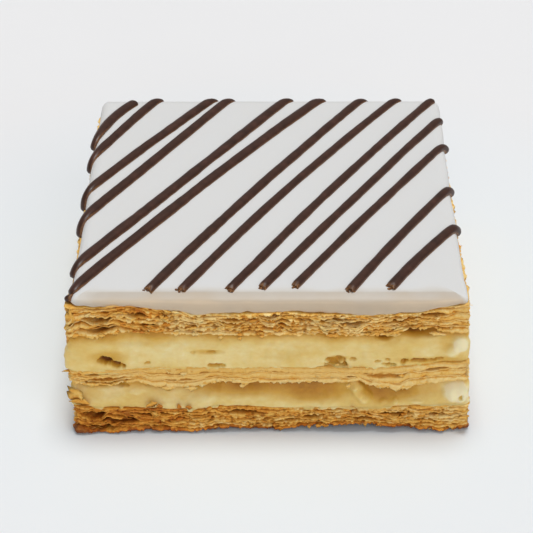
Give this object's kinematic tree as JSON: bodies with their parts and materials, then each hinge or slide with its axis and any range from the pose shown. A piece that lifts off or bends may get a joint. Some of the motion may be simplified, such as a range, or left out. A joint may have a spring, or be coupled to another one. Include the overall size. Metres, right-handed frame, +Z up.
{
  "type": "mille feuille slice",
  "caption": "Square-cut slice of puff pastry sheets with custard layers between them, topped with white icing and slanting chocolate lines.",
  "frame": {"origin": "middle of the slice's underside, on the surface it stands on", "axes": "+Z up, -Y out of the cut front, +X to the right as seen from the front"},
  "size_m": [0.0902, 0.0933, 0.037],
  "materials": {
    "pastry_dark": "well baked puff pastry, matt and flaky",
    "pastry_pale": "pale golden puff pastry, matt and flaky",
    "pastry_golden": "golden puff pastry, matt and flaky",
    "custard": "set vanilla custard, soft and slightly moist",
    "icing": "set white sugar icing, smooth with a soft sheen",
    "chocolate": "set dark chocolate, satin"
  },
  "bodies": {
    "root": {"pastry_base": "pastry_dark", "custard_lower": "custard", "pastry_middle": "pastry_pale", "custard_upper": "custard", "pastry_top": "pastry_golden", "icing": "icing"}
  },
  "joints": []
}
